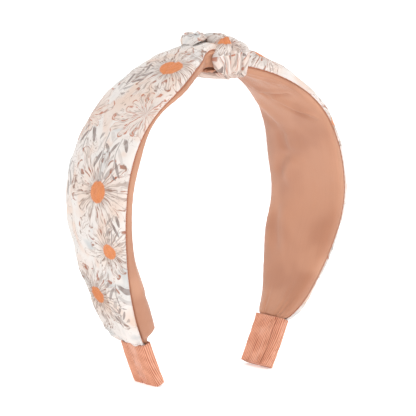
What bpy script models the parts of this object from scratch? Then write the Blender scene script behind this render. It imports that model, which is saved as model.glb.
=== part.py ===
"""Knotted headband: a flexible plastic hoop in a padded fabric band, tied at the crown.

Metres, +Z up. The hoop lies in the XZ plane and stands on its two tips at z = 0, the knot is
at the top and the front edge of the band is at -Y. Every soft and hard layer is placed in
band coordinates: s, the way along the hoop from the crown, y, across the band, and n, out from
the middle of the plastic strip.
"""

import math

import bmesh
import bpy
from mathutils import Vector

# ---- driving dimensions -------------------------------------------------------------------
CROWN_RADIUS = 0.058  # plastic strip's bend over the head
CROWN_SWEEP = math.radians(105)  # how far that bend runs down each side
LIMB_RADIUS = 0.360  # gentler bend of each side below it
LIMB_LENGTH = 0.069  # length of that gentler bend
FLARE = math.radians(4)  # how far the front edge of a limb leans outwards

CORE_WIDTH = 0.0136
CORE_THICKNESS = 0.0016
CORE_CUT = 0.0005  # gap in the strip at each flexing place
FABRIC = 0.0005  # printed cloth and satin, with their seam turnings
GAP = 0.0003  # clearance between pieces that touch

KNOT_BAND_WIDTH = 0.022  # band beside the knot
WIDEST_BAND = 0.045
TIP_GATHER = 0.0001  # room beside the strip for the gathered cloth under the ribbon
WIDEST_AT = 0.088  # way along the hoop to the widest place
FRONT_WIDEST_AT = {"left": 0.042, "right": 0.058}  # the front edge gets there sooner
KNOT_LOFT = 0.0084  # outer face above the strip beside the knot
KNOT_UNDER = 0.0020  # bunched satin hanging below the strip beside and in the knot
UNDER_LENGTH = 0.028  # stretch over which that satin flattens out down the limb
BAND_LOFT = 0.0080  # outer face above the strip at the widest place
GATHER_LENGTH = 0.016  # stretch over which the padding runs out above the ribbon
SEAM_HEIGHT = 0.0034  # seam above the strip's middle at the widest place
PRINT_ROUNDNESS, SATIN_ROUNDNESS = 0.80, 0.55  # 1 is an ellipse, towards 0 is a rectangle
TIP_ROUNDNESS = 0.30

RIBBON_LENGTH = {"left": 0.0205, "right": 0.0230}
RIBBON_WALL = 0.0005
RIBBON_START = math.radians(-132)  # where its winding starts, on the inner face
RIBBON_OVERLAP = math.radians(50)  # how far the ribbon laps over its own start
RIBBON_RISE = math.radians(45)  # turn over which the lap climbs onto the start
RIBBON_TUCK = 0.004  # cloth held under the ribbon
END_FOLD = 0.006  # legs of the ribbon folded over the strip's end

GLUE_INSET = 0.0015  # glue kept back from the strip's edges
GLUE_HALF_LENGTH = 0.008  # bead of glue under the knot

THREAD_RADIUS = 0.0002
SEAM_OPENING = 2 * (THREAD_RADIUS + GAP)

FLEX_CLEARANCE = 0.0007  # from the tuck's edge to the flexing place
OPEN_LIMIT = math.radians(14)
CLOSE_LIMIT = math.radians(4)
LIMIT_MARGIN = math.radians(2)
SLOPE_FADE = 0.020  # stretch over which a limb's sloped upper end runs out

WRAP_START, WRAP_END = -0.0090, 0.0072  # along the hoop, at the front edge
WRAP_SLANT = 0.0110  # how much further right its left edge lies at the back edge
WRAP_PLEATS = 2
WRAP_THICKNESS = 0.0024
WRAP_THIN = 0.0016  # wrap where it passes under the crown
WRAP_EDGE = 0.35  # share of its thickness that the wrap keeps between pleats
RING_ROUNDNESS = 0.70
TUCK_WIDTH = 0.0038
TUCK_THICKNESS = 0.0018
LOOP_START, LOOP_END = -0.0135, -0.0010
LOOP_THICKNESS = 0.0044
LOOP_WIDTH = 0.0140
LOOP_BLUNTNESS = 0.06  # how blunt the loop's ends are, as a share of its length
LOOP_TAPER = 0.25  # share of its thickness that the loop loses towards the wrap
LOOP_BACK = 0.0012  # how far back of the middle its left end lies
LOOP_SHIFT = 0.0056  # how much further back its right end lies
LOOP_CLEARANCE = 0.0011  # under the loop's free end, for the limb as it swings
KNOT_FILL_LOFT = 0.0086  # bunched cloth inside the knot, above the strip
KNOT_INSET = 0.0006  # bunched cloth narrower than the band beside it
UNDER_SHARE = 0.76  # satin under the strip in the knot, as a share of the bunched cloth

# ---- sizes that follow --------------------------------------------------------------------
CORE_HALF = CORE_THICKNESS / 2
LINING_FACE = CORE_HALF + GAP + FABRIC  # satin's inner face, below the strip's middle
TIP_BAND_WIDTH = CORE_WIDTH + 2 * (GAP + FABRIC + TIP_GATHER)
TUCK_START = WRAP_END + GAP
TUCK_END = TUCK_START + TUCK_WIDTH
FLEX_AT = TUCK_END + FLEX_CLEARANCE  # each flexing place, measured from the crown
LOOP_REST = KNOT_LOFT + LOOP_CLEARANCE
CROWN_ARC = CROWN_RADIUS * CROWN_SWEEP
HOOP_HALF_LENGTH = CROWN_ARC + LIMB_LENGTH
FOLD_HALF = CORE_HALF + GAP + RIBBON_WALL
RIBBON_HALF_THICKNESS = FOLD_HALF + GAP + RIBBON_WALL
RIBBON_HALF_WIDTH = TIP_BAND_WIDTH / 2 + GAP + RIBBON_WALL
TIP_END = HOOP_HALF_LENGTH + GAP + RIBBON_WALL
BAND_START = FLEX_AT + CORE_CUT


def plane_point(s, n):
    """Place in the hoop's own plane, crown at the top of a circle about (0, 0)."""
    if s <= CROWN_ARC:
        angle = s / CROWN_RADIUS
        x, z = CROWN_RADIUS * math.sin(angle), CROWN_RADIUS * math.cos(angle)
    else:
        angle = CROWN_SWEEP + (s - CROWN_ARC) / LIMB_RADIUS
        x = CROWN_RADIUS * math.sin(CROWN_SWEEP)
        x += LIMB_RADIUS * (math.sin(angle) - math.sin(CROWN_SWEEP))
        z = CROWN_RADIUS * math.cos(CROWN_SWEEP)
        z += LIMB_RADIUS * (math.cos(angle) - math.cos(CROWN_SWEEP))
    return x + n * math.sin(angle), z + n * math.cos(angle), angle


GROUND = min(plane_point(TIP_END, FOLD_HALF)[1],
             plane_point(HOOP_HALF_LENGTH, RIBBON_HALF_THICKNESS)[1])


def band_point(side, s, y, n):
    """World place of band coordinates; side is -1 on the left, 1 on the right and at the knot."""
    way = -1 if s < 0 else 1
    share = max(0.0, min(1.0, (abs(s) - FLEX_AT) / (HOOP_HALF_LENGTH - FLEX_AT)))
    lean = FLARE * math.sin(math.pi * share)
    rise = n - SEAM_HEIGHT  # the band leans about its seam line
    out = SEAM_HEIGHT + rise * math.cos(lean) - y * math.sin(lean)
    across = y * math.cos(lean) + rise * math.sin(lean)
    x, z, _ = plane_point(abs(s), out)
    return Vector((side * way * x, across, z - GROUND))


def ease(share, power):
    """0 to 1 along a quarter of a sine wave, raised to a power."""
    return math.sin(math.pi / 2 * max(0.0, min(1.0, share))) ** power


def ribbon_top(name):
    return HOOP_HALF_LENGTH - RIBBON_LENGTH[name]


def band_shape(name, s):
    """Half width, outer face height, seam height and fullness of the band at s."""
    top = ribbon_top(name)
    if s < WIDEST_AT:
        width = KNOT_BAND_WIDTH + (WIDEST_BAND - KNOT_BAND_WIDTH) * ease(
            (s - FLEX_AT) / (WIDEST_AT - FLEX_AT), 1.3)
    else:
        width = TIP_BAND_WIDTH + (WIDEST_BAND - TIP_BAND_WIDTH) * ease(
            (top - s) / (top - WIDEST_AT), 0.75)
    loft = KNOT_LOFT + (BAND_LOFT - KNOT_LOFT) * ease((s - FLEX_AT) / (WIDEST_AT - FLEX_AT), 1)
    fullness = ease((top - s) / GATHER_LENGTH, 0.6)
    outer = CORE_HALF + GAP + FABRIC
    return width / 2, outer + (loft - outer) * fullness, SEAM_HEIGHT * fullness, fullness


def front_spread(name, s):
    """How many times further from the middle the front edge lies than the back edge at s."""
    if s >= WIDEST_AT:
        return 1.0
    rise = ease((s - FLEX_AT) / (FRONT_WIDEST_AT[name] - FLEX_AT), 0.9)
    front = (KNOT_BAND_WIDTH + (WIDEST_BAND - KNOT_BAND_WIDTH) * rise) / 2
    return front / band_shape(name, s)[0]


def under_loft(s):
    """How far the satin hangs below its place at the widest part of the band."""
    return KNOT_UNDER * (1 - ease((s - FLEX_AT) / UNDER_LENGTH, 1))


def roundness(full_roundness, fullness):
    return TIP_ROUNDNESS + (full_roundness - TIP_ROUNDNESS) * fullness


def superellipse(angle, half_width, height, squareness):
    """A point of a rounded outline, from its right end at angle 0 over its top."""
    c, s = math.cos(angle), math.sin(angle)
    return (math.copysign(abs(c) ** squareness, c) * half_width, abs(s) ** squareness * height)


def open_arc(half_width, height, squareness, rise, count):
    """Points of the upper half outline from one edge to the other, starting rise above it."""
    first = math.asin(min(1.0, (rise / height) ** (1 / squareness)))
    step = (math.pi - 2 * first) / (count - 1)
    return [superellipse(first + step * i, half_width, height, squareness)
            for i in range(count)]


# ---- building solids ----------------------------------------------------------------------
def material(name, colour, roughness):
    found = bpy.data.materials.get(name) or bpy.data.materials.new(name)
    found.use_nodes = True
    shader = found.node_tree.nodes["Principled BSDF"]
    shader.inputs["Base Color"].default_value = (*colour, 1)
    shader.inputs["Roughness"].default_value = roughness
    shader.inputs["Metallic"].default_value = 0
    return found


def add_object(name, bm, finish, parent=None):
    bmesh.ops.remove_doubles(bm, verts=bm.verts, dist=1e-6)
    bmesh.ops.recalc_face_normals(bm, faces=bm.faces)
    if parent:
        bmesh.ops.translate(bm, vec=-parent.location, verts=bm.verts)
    mesh = bpy.data.meshes.new(name)
    bm.to_mesh(mesh)
    bm.free()
    mesh.materials.append(finish)
    mesh.shade_smooth()
    mesh.set_sharp_from_angle(angle=math.radians(40))
    made = bpy.data.objects.new(name, mesh)
    bpy.context.scene.collection.objects.link(made)
    made.parent = parent
    return made


def skin(loops, closed=False):
    """A solid through equal loops of points, joined end to end or capped at both ends. A cap
    is a ladder of faces, from each point of a loop's first half to its partner in the second."""
    bm = bmesh.new()
    rings = [[bm.verts.new(point) for point in loop] for loop in loops]
    pairs = list(zip(rings, rings[1:] + rings[:1])) if closed else list(zip(rings, rings[1:]))
    for low, high in pairs:
        for i in range(len(low)):
            j = (i + 1) % len(low)
            bm.faces.new((low[i], low[j], high[j], high[i]))
    if not closed:
        for ring in (rings[0], rings[-1]):
            for i in range(len(ring) // 2 - 1):
                bm.faces.new((ring[i], ring[i + 1], ring[-i - 2], ring[-i - 1]))
    return bm


def steps(start, end, count):
    return [start + (end - start) * i / (count - 1) for i in range(count)]


def band_stations(name, start, end, spacing=0.0062):
    """Stations down a limb, closer together where the band gathers above the ribbon."""
    gather = ribbon_top(name) - GATHER_LENGTH
    upper_end = min(end, gather)
    upper = steps(start, upper_end, max(2, round((upper_end - start) / spacing) + 1))
    if end <= gather:
        return upper
    lower_end = min(end, ribbon_top(name))
    lower = steps(gather, lower_end, max(2, round((lower_end - gather) / (spacing / 2)) + 1))
    tucked = [end] if end > ribbon_top(name) else []
    return upper + lower[1:] + tucked


def limb_solid(side, name, start, end, section):
    """A solid down one limb. Its upper end slopes away from the knot, so that it clears the
    knot when the limb swings to either limit."""
    loops = []
    for s in band_stations(name, start, end):
        fade = max(0.0, 1 - (s - start) / SLOPE_FADE)
        loop = []
        for y, n in section(name, s):
            limit = OPEN_LIMIT if n > 0 else CLOSE_LIMIT
            slope = abs(n) * math.tan(limit + LIMIT_MARGIN)
            spread = front_spread(name, s) if y < 0 else 1.0
            loop.append(band_point(side, s + fade * slope, spread * y, n))
        loops.append(loop)
    return skin(loops)


# ---- cross-sections, as (y, n) points -----------------------------------------------------
def cover_section(name, s, count=10):
    half, outer, seam, fullness = band_shape(name, s)
    rise, curve = SEAM_OPENING / 2, roundness(PRINT_ROUNDNESS, fullness)
    outside = open_arc(half, outer - seam, curve, rise, count)
    inside = open_arc(half - FABRIC, outer - seam - FABRIC, curve, rise, count)
    return [(y, seam + h) for y, h in outside + inside[::-1]]


def lining_section(name, s, count=10):
    half, _, seam, fullness = band_shape(name, s)
    rise, curve = SEAM_OPENING / 2, roundness(SATIN_ROUNDNESS, fullness)
    depth = seam + LINING_FACE + under_loft(s)
    outside = open_arc(half, depth, curve, rise, count)
    inside = open_arc(half - FABRIC, depth - FABRIC, curve, rise, count)
    return [(y, seam - h) for y, h in outside + inside[::-1]]


def pad_section(name, s, count=10):
    """Padding under the cloth, with a channel in its inner face that holds the strip."""
    half, outer, seam, fullness = band_shape(name, s)
    half -= FABRIC + GAP
    top = outer - FABRIC - GAP - seam
    print_curve = roundness(PRINT_ROUNDNESS, fullness)
    satin_curve = roundness(SATIN_ROUNDNESS, fullness)
    over = [superellipse(math.pi * i / (count - 1), half, top, print_curve)
            for i in range(count)]
    loop = [(y, seam + h) for y, h in over]
    channel, depth = CORE_WIDTH / 2 + GAP, seam + CORE_HALF + under_loft(s)
    last = math.acos((channel / half) ** (1 / satin_curve))
    for angle in steps(0, last, 5)[1:]:
        y, h = superellipse(angle, half, depth, satin_curve)
        loop.append((-y, seam - h))
    loop += [(-channel, CORE_HALF + GAP), (channel, CORE_HALF + GAP)]
    for angle in steps(last, 0, 5)[:-1]:
        y, h = superellipse(angle, half, depth, satin_curve)
        loop.append((y, seam - h))
    return loop


def core_section(_name, _s):
    """The plastic strip, with its long edges eased."""
    y, n = CORE_WIDTH / 2, CORE_HALF
    ease_in = CORE_HALF / 2
    return [(y, -n + ease_in), (y, n - ease_in), (y - ease_in, n), (-y + ease_in, n),
            (-y, n - ease_in), (-y, -n + ease_in), (-y + ease_in, -n), (y - ease_in, -n)]


def slab_section(half_width, low, high):
    return lambda _name, _s: [(half_width, low), (half_width, high),
                              (-half_width, high), (-half_width, low)]


def ribbon_section(_name, _s, count=30):
    """Ribbon wrapped once round the tip and lapped over its start on the inner face."""
    turn = 2 * math.pi + RIBBON_OVERLAP
    lap = RIBBON_WALL + GAP
    outside, inside = [], []
    for wound in steps(0, turn, count):
        angle = RIBBON_START + wound
        over = max(0.0, min(1.0, (wound - 2 * math.pi + RIBBON_RISE) / RIBBON_RISE))
        for line, skin_depth in ((outside, 0.0), (inside, RIBBON_WALL)):
            half = RIBBON_HALF_WIDTH + over * lap - skin_depth
            deep = RIBBON_HALF_THICKNESS + over * lap - skin_depth
            y, h = superellipse(angle, half, deep, 0.35)
            line.append((-y, math.copysign(h, math.sin(angle))))
    return outside + inside[::-1]


def thread_section(edge):
    """Sewing thread lying in the seam; edge is -1 for the front seam and 1 for the back."""
    def section(name, s, count=6):
        half, _, seam, _ = band_shape(name, s)
        centre = half - THREAD_RADIUS
        turn = 2 * math.pi / count
        return [(edge * centre + THREAD_RADIUS * math.cos(turn * i),
                 seam + THREAD_RADIUS * math.sin(turn * i)) for i in range(count)]
    return section


# ---- one limb -----------------------------------------------------------------------------
def end_fold(side):
    """Ribbon folded over the strip's end, its legs flat on both faces of the strip."""
    start, inside, outside = HOOP_HALF_LENGTH - END_FOLD, HOOP_HALF_LENGTH + GAP, TIP_END
    low, high = CORE_HALF + GAP, FOLD_HALF
    outline = [(start, high), (outside, high), (outside, -high), (start, -high),
               (start, -low), (inside, -low), (inside, low), (start, low)]
    half = CORE_WIDTH / 2
    return skin([[band_point(side, s, y, n) for s, n in outline] for y in (-half, half)])


def build_limb(name, side, hinge, finish):
    top = ribbon_top(name)
    tucked = top + RIBBON_TUCK
    low_glue, high_glue = CORE_HALF + GAP, FOLD_HALF

    def add(piece, bm, look):
        add_object(f"{piece}_{name}", bm, finish[look], hinge)

    def along(start, end, section):
        return limb_solid(side, name, start, end, section)

    def straight(start, end, section, count):
        return skin([[band_point(side, s, y, n) for y, n in section(name, s)]
                     for s in steps(start, end, count)])

    add("core", straight(FLEX_AT + CORE_CUT / 2, HOOP_HALF_LENGTH, core_section, 30), "plastic")
    add("pad", along(BAND_START, top - GATHER_LENGTH / 3, pad_section), "padding")
    add("cover", along(BAND_START, tucked, cover_section), "print")
    add("lining", along(BAND_START, tucked, lining_section), "satin")
    for edge, place in ((-1, "front"), (1, "back")):
        add(f"seam_{place}", along(BAND_START, top - GAP, thread_section(edge)), "thread")
    add("ribbon", straight(top + GAP, HOOP_HALF_LENGTH + GAP, ribbon_section, 5), "ribbon")
    add("ribbon_end", end_fold(side), "ribbon")
    glue = slab_section(CORE_WIDTH / 2 - GLUE_INSET, low_glue, high_glue)
    add("glue_tip", straight(tucked + GAP, HOOP_HALF_LENGTH - END_FOLD - GAP, glue, 3), "glue")


# ---- the knot -----------------------------------------------------------------------------
KNOT_HALF = KNOT_BAND_WIDTH / 2 - KNOT_INSET  # bunched cloth, half its width
RING_HALF = KNOT_HALF + 2 * GAP  # inside of the wrap
UNDER_HALF = UNDER_SHARE * KNOT_HALF  # satin under the strip, inside the wrap
RING_LOW = LINING_FACE + KNOT_UNDER + GAP
RING_HIGH = KNOT_FILL_LOFT + GAP


def ring_loop(s, slant, spread, turns):
    """One loop round the bunched cloth, spread away from it, thin under the crown. From the
    front edge round to the back one it runs slant to the right."""
    middle, deep = (RING_HIGH - RING_LOW) / 2, (RING_HIGH + RING_LOW) / 2
    loop = []
    for i in range(turns):
        angle = 2 * math.pi * i / turns
        below = max(0.0, -math.sin(angle)) ** 2
        away = spread * (1 - below * (1 - WRAP_THIN / WRAP_THICKNESS))
        curve = RING_ROUNDNESS if math.sin(angle) > 0 else TIP_ROUNDNESS
        y, h = superellipse(angle, RING_HALF + away, deep + away, curve)
        across = abs(math.cos(angle / 2))
        loop.append(band_point(1, s + slant * across, y,
                               middle + math.copysign(h, math.sin(angle))))
    return loop


def wrap_ring(start, end, pleats, thickness, slant=0.0, turns=30, per_pleat=6):
    """A band of cloth round the knot: its outside stands in rounded pleats, and its left edge
    runs slant to the right on its way from the front to the back."""
    edge = thickness * WRAP_EDGE
    outside = []
    for pleat in range(pleats):
        low = start + (end - start) * pleat / pleats
        high = start + (end - start) * (pleat + 1) / pleats
        for i in range(per_pleat if pleat < pleats - 1 else per_pleat + 1):
            share = i / per_pleat
            rise = edge + (thickness - edge) * math.sin(math.pi * share) ** 0.6
            outside.append((low + (high - low) * share, rise))
    inside = [(s, 0.0) for s in steps(end, start, 2 * pleats + 1)]
    profile = outside + inside
    return skin([ring_loop(s, slant * (end - s) / (end - start), spread, turns)
                 for s, spread in profile], closed=True)


def loop_fold(count=14, around=16):
    """The fold of cloth left of the wrap, from above the left limb to behind the wrap's edge."""
    rest = RING_HIGH + GAP
    loops = []
    for i in range(count):
        share = i / (count - 1)
        s = LOOP_START + (LOOP_END - LOOP_START) * share
        full = math.sin(math.pi * (LOOP_BLUNTNESS + (1 - 2 * LOOP_BLUNTNESS) * share)) ** 0.7
        lifted = min(1.0, max(0.0, (s - LOOP_START) / (WRAP_START - LOOP_START)))
        low = LOOP_REST + (rest - LOOP_REST) * lifted
        half_width = LOOP_WIDTH / 2 * full
        half_height = LOOP_THICKNESS / 2 * full * (1 - LOOP_TAPER * share)
        back = LOOP_BACK + LOOP_SHIFT * share
        loop = []
        for k in range(around):
            angle = 2 * math.pi * k / around
            y, h = superellipse(angle, half_width, half_height, 0.8)
            n = low + half_height + math.copysign(h, math.sin(angle))
            loop.append(band_point(1, s, back + y, n))
        loops.append(loop)
    return skin(loops)


def block(start, end, section, count):
    return skin([[band_point(1, s, y, n) for y, n in section("crown", s)]
                 for s in steps(start, end, count)])


def fill_section(_name, s, count=18):
    """Bunched cloth inside the knot, on top of the strip."""
    low = FOLD_HALF + GAP
    middle, deep = (KNOT_FILL_LOFT + low) / 2, (KNOT_FILL_LOFT - low) / 2
    loop = []
    for i in range(count):
        angle = 2 * math.pi * i / count
        y, h = superellipse(angle, KNOT_HALF, deep, 1)
        loop.append((y, middle + math.copysign(h, math.sin(angle))))
    return loop


def build_knot(finish):
    reach = FLEX_AT - CORE_CUT / 2
    add_object("core_crown", block(-reach, reach, core_section, 9), finish["plastic"])
    glue = slab_section(CORE_WIDTH / 2 - GLUE_INSET, CORE_HALF + GAP, FOLD_HALF)
    add_object("glue_crown", block(-GLUE_HALF_LENGTH, GLUE_HALF_LENGTH, glue, 7), finish["glue"])
    under = slab_section(UNDER_HALF, -LINING_FACE - KNOT_UNDER, -CORE_HALF - GAP)
    add_object("lining_crown", block(WRAP_START, TUCK_END, under, 9), finish["satin"])
    add_object("knot_inner", block(WRAP_START, TUCK_END, fill_section, 9), finish["print"])
    wrap = wrap_ring(WRAP_START, WRAP_END, WRAP_PLEATS, WRAP_THICKNESS, WRAP_SLANT)
    add_object("knot_wrap", wrap, finish["print"])
    tuck = wrap_ring(TUCK_START, TUCK_END, 1, TUCK_THICKNESS)
    add_object("knot_tuck", tuck, finish["print"])
    add_object("knot_loop", loop_fold(), finish["print"])


# ---- the whole headband -------------------------------------------------------------------
def clear_scene():
    for item in list(bpy.data.objects):
        bpy.data.objects.remove(item, do_unlink=True)


def add_hinge(name, side):
    """An empty on the line that a limb flexes about, across the band at the strip."""
    hinge = bpy.data.objects.new(f"hinge_{name}", None)
    hinge.location = band_point(side, FLEX_AT, 0, 0)
    hinge.empty_display_size = 0.01
    bpy.context.scene.collection.objects.link(hinge)
    return hinge


clear_scene()
FINISH = {
    "plastic": material("hoop_plastic", (0.82, 0.78, 0.72), 0.45),
    "padding": material("wadding", (0.90, 0.88, 0.84), 0.95),
    "print": material("printed_chiffon", (0.87, 0.81, 0.76), 0.60),
    "satin": material("peach_satin", (0.66, 0.34, 0.20), 0.42),
    "ribbon": material("grosgrain_ribbon", (0.78, 0.30, 0.17), 0.55),
    "thread": material("rust_thread", (0.40, 0.14, 0.07), 0.65),
    "glue": material("hot_melt_glue", (0.80, 0.72, 0.56), 0.35),
}
build_knot(FINISH)
for limb, direction in (("left", -1), ("right", 1)):
    build_limb(limb, direction, add_hinge(limb, direction), FINISH)
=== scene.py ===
import math

import bpy
import numpy as np
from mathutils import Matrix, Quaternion, Vector


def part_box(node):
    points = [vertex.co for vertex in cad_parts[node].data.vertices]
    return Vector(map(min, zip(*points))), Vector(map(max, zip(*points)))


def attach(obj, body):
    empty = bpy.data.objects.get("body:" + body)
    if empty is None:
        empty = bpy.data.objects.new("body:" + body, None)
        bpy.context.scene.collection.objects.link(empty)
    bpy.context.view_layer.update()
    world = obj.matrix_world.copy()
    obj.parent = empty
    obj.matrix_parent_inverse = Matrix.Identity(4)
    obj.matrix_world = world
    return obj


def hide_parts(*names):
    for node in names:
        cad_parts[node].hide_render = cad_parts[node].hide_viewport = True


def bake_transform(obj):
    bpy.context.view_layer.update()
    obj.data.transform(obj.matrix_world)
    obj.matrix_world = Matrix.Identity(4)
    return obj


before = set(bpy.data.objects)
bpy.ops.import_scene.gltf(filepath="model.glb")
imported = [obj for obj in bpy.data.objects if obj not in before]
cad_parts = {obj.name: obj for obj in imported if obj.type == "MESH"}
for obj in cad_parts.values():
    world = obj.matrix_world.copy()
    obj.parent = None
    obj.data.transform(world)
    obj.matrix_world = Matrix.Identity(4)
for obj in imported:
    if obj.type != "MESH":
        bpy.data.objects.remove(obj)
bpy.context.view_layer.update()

# ==== Hoop strip ===========================================================================
# A strip of springy plastic, bent to the curve of a head and eased along its edges. Each limb
# of it is a smooth sweep that bends out of the knot, the crown's own stretch stays as it is.
CROWN_RADIUS = 0.058
CROWN_SWEEP = math.radians(105)
LIMB_RADIUS = 0.360
CROWN_ARC = CROWN_RADIUS * CROWN_SWEEP
HOOP_HALF_LENGTH = CROWN_ARC + 0.069
FLARE = math.radians(4)
CORE_HALF_WIDTH, CORE_HALF = 0.0068, 0.0008
SEAM_HEIGHT = 0.0034  # seam above the strip's middle
FLEX_AT = 0.012  # where each limb starts to flex, from the crown
STRIP_SLOT = 0.00025  # between the crown's stretch and each limb's
STRIP_ROUNDNESS = 0.25  # superellipse power, close to a rectangle
SIDES = {"left": -1, "right": 1}
_, CORE_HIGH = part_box("core_left")


def plane_place(s, n):
    """A place in the hoop's plane: round the crown's circle by s, then round a gentler one,
    and out from the strip's middle by n."""
    down = CROWN_SWEEP + (s - CROWN_ARC) / LIMB_RADIUS
    angle = np.where(s <= CROWN_ARC, s / CROWN_RADIUS, down)
    below_x = CROWN_RADIUS * np.sin(CROWN_SWEEP) + LIMB_RADIUS * (np.sin(down) - np.sin(CROWN_SWEEP))
    below_z = CROWN_RADIUS * np.cos(CROWN_SWEEP) + LIMB_RADIUS * (np.cos(down) - np.cos(CROWN_SWEEP))
    x = np.where(s <= CROWN_ARC, CROWN_RADIUS * np.sin(angle), below_x)
    z = np.where(s <= CROWN_ARC, CROWN_RADIUS * np.cos(angle), below_z)
    return x + n * np.sin(angle), z + n * np.cos(angle)


CIRCLE_HEIGHT = CORE_HIGH.z - plane_place(np.array(FLEX_AT), CORE_HALF)[1]


def band_place(side, s, y, n):
    """World places of band coordinates: s along the hoop, y across, n outwards. The band leans
    about its seam line by a half sine wave down each limb, so that its front edge flares."""
    s, y, n = np.broadcast_arrays(s, y, n)
    lean = FLARE * np.sin(np.pi * np.clip((np.abs(s) - FLEX_AT) / (HOOP_HALF_LENGTH - FLEX_AT), 0, 1))
    rise = n - SEAM_HEIGHT
    out = SEAM_HEIGHT + rise * np.cos(lean) - y * np.sin(lean)
    across = y * np.cos(lean) + rise * np.sin(lean)
    x, z = plane_place(np.abs(s), out)
    return np.stack([side * np.where(s < 0, -1, 1) * x, across, z + CIRCLE_HEIGHT], -1)


def squared(wave, power):
    """A sine or cosine with its size raised to a power: below 1 it squares an oval off."""
    return np.sign(wave) * np.abs(wave) ** power


def full_turn(count):
    """Equal steps of angle once round a section."""
    return np.linspace(0, 2 * np.pi, count, endpoint=False)[None, :]


def pairs(a, b):
    """Two coordinates side by side, spread to the same grid."""
    return np.stack(np.broadcast_arrays(a, b), -1)


def quads(rows, columns, ring=False, back=False):
    """Index quads of a grid of points, joined round its columns when ring is set."""
    i = np.arange(rows - 1)[:, None]
    j = np.arange(columns if ring else columns - 1)[None, :]
    k = (j + 1) % columns
    corners = [i * columns + j, (i + 1) * columns + j, (i + 1) * columns + k, i * columns + k]
    if back:
        corners.reverse()
    return np.stack([c.ravel() for c in corners], 1)


def add_mesh(name, points, faces, finish, cloth=None):
    """A smooth mesh object. cloth holds each point's place on its flat cloth, as a UV map.
    Its faces are all turned if they enclose a negative volume."""
    points, faces = np.asarray(points, float), [list(f) for f in faces]
    first = np.array([[f[0], f[k], f[k + 1]] for f in faces for k in range(1, len(f) - 1)])
    a, b, c = (points[first[:, k]] for k in range(3))
    if np.einsum("ij,ij->i", a, np.cross(b, c)).sum() < 0:
        faces = [f[::-1] for f in faces]
    mesh = bpy.data.meshes.new(name)
    mesh.from_pydata(points.tolist(), [], faces)
    mesh.shade_smooth()
    if cloth is not None:
        corner = np.zeros(len(mesh.loops), int)
        mesh.loops.foreach_get("vertex_index", corner)
        layer = mesh.uv_layers.new(name="cloth")
        layer.data.foreach_set("uv", np.asarray(cloth, float)[corner].ravel())
    mesh.materials.append(finish)
    made = bpy.data.objects.new(name, mesh)
    bpy.context.scene.collection.objects.link(made)
    return made


def add_rod(name, rings, finish):
    """A solid through equal rings of points, with a flat cap at each end."""
    rows, columns, _ = rings.shape
    faces = quads(rows, columns, ring=True).tolist()
    last = (rows - 1) * columns
    faces += [list(range(columns)), list(range(last + columns - 1, last - 1, -1))]
    cloth = pairs(np.linspace(0, 1, rows)[:, None], np.arange(columns)[None, :] / columns)
    return add_mesh(name, rings.reshape(-1, 3), faces, finish, cloth.reshape(-1, 2))


def paint(red, green, blue):
    """A colour given as it looks, 0 to 255, made linear."""
    looks = np.array([red, green, blue]) / 255
    linear = np.where(looks <= 0.04045, looks / 12.92, ((looks + 0.055) / 1.055) ** 2.4)
    return (*linear.tolist(), 1)


def node(tree, kind, values=None, **settings):
    """Adds a shader node. values gives its inputs, by name or place, a number or a link."""
    made = tree.nodes.new("ShaderNode" + kind)
    for name, value in settings.items():
        setattr(made, name, value)
    for socket, value in (values or {}).items():
        if isinstance(value, bpy.types.NodeSocket):
            tree.links.new(value, made.inputs[socket])
        else:
            made.inputs[socket].default_value = value
    return made


def calc(tree, operation, a, b=0.0):
    return node(tree, "Math", {0: a, 1: b}, operation=operation).outputs[0]


def times(tree, a, b):
    return calc(tree, "MULTIPLY", a, b)


def plus(tree, a, b):
    return calc(tree, "ADD", a, b)


def minus(tree, a, b):
    return calc(tree, "SUBTRACT", a, b)


def object_place(tree):
    return node(tree, "TexCoord").outputs["Object"]


def cloth_place(tree):
    """Each point's place on its flat cloth, which add_mesh stores as a UV map."""
    return node(tree, "UVMap", uv_map="cloth").outputs["UV"]


def noise(tree, place, scale, detail=2.0, distortion=0.0):
    values = {"Vector": place, "Scale": scale, "Detail": detail, "Distortion": distortion}
    return node(tree, "TexNoise", values).outputs["Fac"]


def blend_colour(tree, share, a, b):
    return node(tree, "Mix", {0: share, 6: a, 7: b}, data_type="RGBA").outputs[2]


def span(tree, value, low, high, to_low=0.0, to_high=1.0):
    """A value carried from one range to another and held at its ends, with a soft start."""
    values = {"Value": value, "From Min": low, "From Max": high, "To Min": to_low, "To Max": to_high}
    return node(tree, "MapRange", values, interpolation_type="SMOOTHSTEP").outputs["Result"]


def finish_of(name, roughness, **sockets):
    """A new material with its Principled shader's fixed values set. Returns it and its tree."""
    made = bpy.data.materials.new(name)
    made.use_nodes = True
    shader = made.node_tree.nodes["Principled BSDF"]
    shader.inputs["Roughness"].default_value = roughness
    for socket, value in sockets.items():
        shader.inputs[socket.replace("_", " ")].default_value = value
    return made, made.node_tree


def wire(tree, colour=None, height=None, distance=0.0001, strength=1.0, roughness=None):
    """Links a colour, a height for bump and a roughness to the shader."""
    shader = tree.nodes["Principled BSDF"]
    if colour is not None:
        tree.links.new(colour, shader.inputs["Base Color"])
    if roughness is not None:
        tree.links.new(roughness, shader.inputs["Roughness"])
    if height is not None:
        bump = node(tree, "Bump", {"Height": height, "Distance": distance, "Strength": strength})
        tree.links.new(bump.outputs["Normal"], shader.inputs["Normal"])


def refinish(part_name, finish):
    """Gives one of the frame's own pieces its finish."""
    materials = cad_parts[part_name].data.materials
    materials.clear()
    materials.append(finish)


hoop_plastic, tree = finish_of("moulded_plastic", 0.42)
place = object_place(tree)
cloud = noise(tree, place, 90, 3)
wire(tree, blend_colour(tree, cloud, paint(226, 221, 211), paint(238, 234, 226)),
     noise(tree, place, 2200, 3), 0.00004, 0.5, span(tree, cloud, 0.3, 0.7, 0.36, 0.5))
refinish("core_crown", hoop_plastic)

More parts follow.
